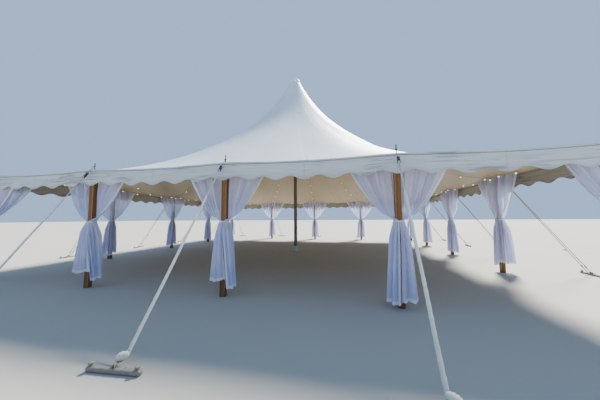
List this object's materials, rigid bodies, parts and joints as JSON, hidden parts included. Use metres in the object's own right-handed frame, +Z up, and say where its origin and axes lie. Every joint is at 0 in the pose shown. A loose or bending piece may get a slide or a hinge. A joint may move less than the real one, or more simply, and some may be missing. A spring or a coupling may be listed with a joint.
{
  "type": "marquee tent",
  "caption": "White square pole tent with a high peak, scalloped valance, wooden poles, tied white leg drapes and guy lines to stake bars.",
  "frame": {"origin": "on the ground under the peak, at the middle of the plan", "axes": "+Z up, front side faces -Y, +X to the right seen from the front"},
  "size_m": [15.967, 16.6524, 7.6965],
  "materials": {
    "roof_vinyl": "white coated canopy cloth, satin, slightly translucent",
    "valance_vinyl": "white coated canopy cloth in shade, with light creases and a bound wavy edge",
    "galvanised_steel": "dull galvanised steel",
    "mast_wood": "dark stained pole wood, satin",
    "post_wood": "red-brown stained post wood, satin",
    "sheer_drape": "sheer white voile in deep folds",
    "guy_cover": "white padded sleeve over the webbing",
    "guy_rope": "tan twisted rope"
  },
  "bodies": {
    "root": {"roof_front": "roof_vinyl", "roof_right": "roof_vinyl", "roof_back": "roof_vinyl", "roof_left": "roof_vinyl", "valance_front": "valance_vinyl", "valance_right": "valance_vinyl", "valance_back": "valance_vinyl", "valance_left": "valance_vinyl", "peak_cap": "roof_vinyl", "crown_ring": "galvanised_steel", "centre_pole": "mast_wood", "side_pole_front_1": "post_wood", "side_pole_front_2": "post_wood", "side_pole_front_3": "post_wood", "side_pole_right_1": "post_wood", "side_pole_right_2": "post_wood", "side_pole_right_3": "post_wood", "side_pole_back_1": "post_wood", "side_pole_back_2": "post_wood", "side_pole_back_3": "post_wood", "side_pole_left_1": "post_wood", "side_pole_left_2": "post_wood", "side_pole_left_3": "post_wood", "side_pole_front_left": "post_wood", "side_pole_front_right": "post_wood", "side_pole_back_right": "post_wood", "side_pole_back_left": "post_wood", "drape_front_1": "sheer_drape", "drape_front_2": "sheer_drape", "drape_front_3": "sheer_drape", "drape_right_1": "sheer_drape", "drape_right_2": "sheer_drape", "drape_right_3": "sheer_drape", "drape_back_1": "sheer_drape", "drape_back_2": "sheer_drape", "drape_back_3": "sheer_drape", "drape_left_1": "sheer_drape", "drape_left_2": "sheer_drape", "drape_left_3": "sheer_drape", "drape_front_left": "sheer_drape", "drape_front_right": "sheer_drape", "drape_back_right": "sheer_drape", "drape_back_left": "sheer_drape", "guy_front_1": "guy_cover", "guy_front_2": "guy_cover", "guy_front_3": "guy_cover", "guy_right_1": "guy_rope", "guy_right_2": "guy_rope", "guy_right_3": "guy_rope", "guy_back_1": "guy_rope", "guy_back_2": "guy_rope", "guy_back_3": "guy_rope", "guy_left_1": "guy_rope", "guy_left_2": "guy_rope", "guy_left_3": "guy_rope", "guy_front_left": "guy_cover", "guy_front_right": "guy_cover", "guy_back_right": "guy_rope", "guy_back_left": "guy_rope"}
  },
  "joints": []
}
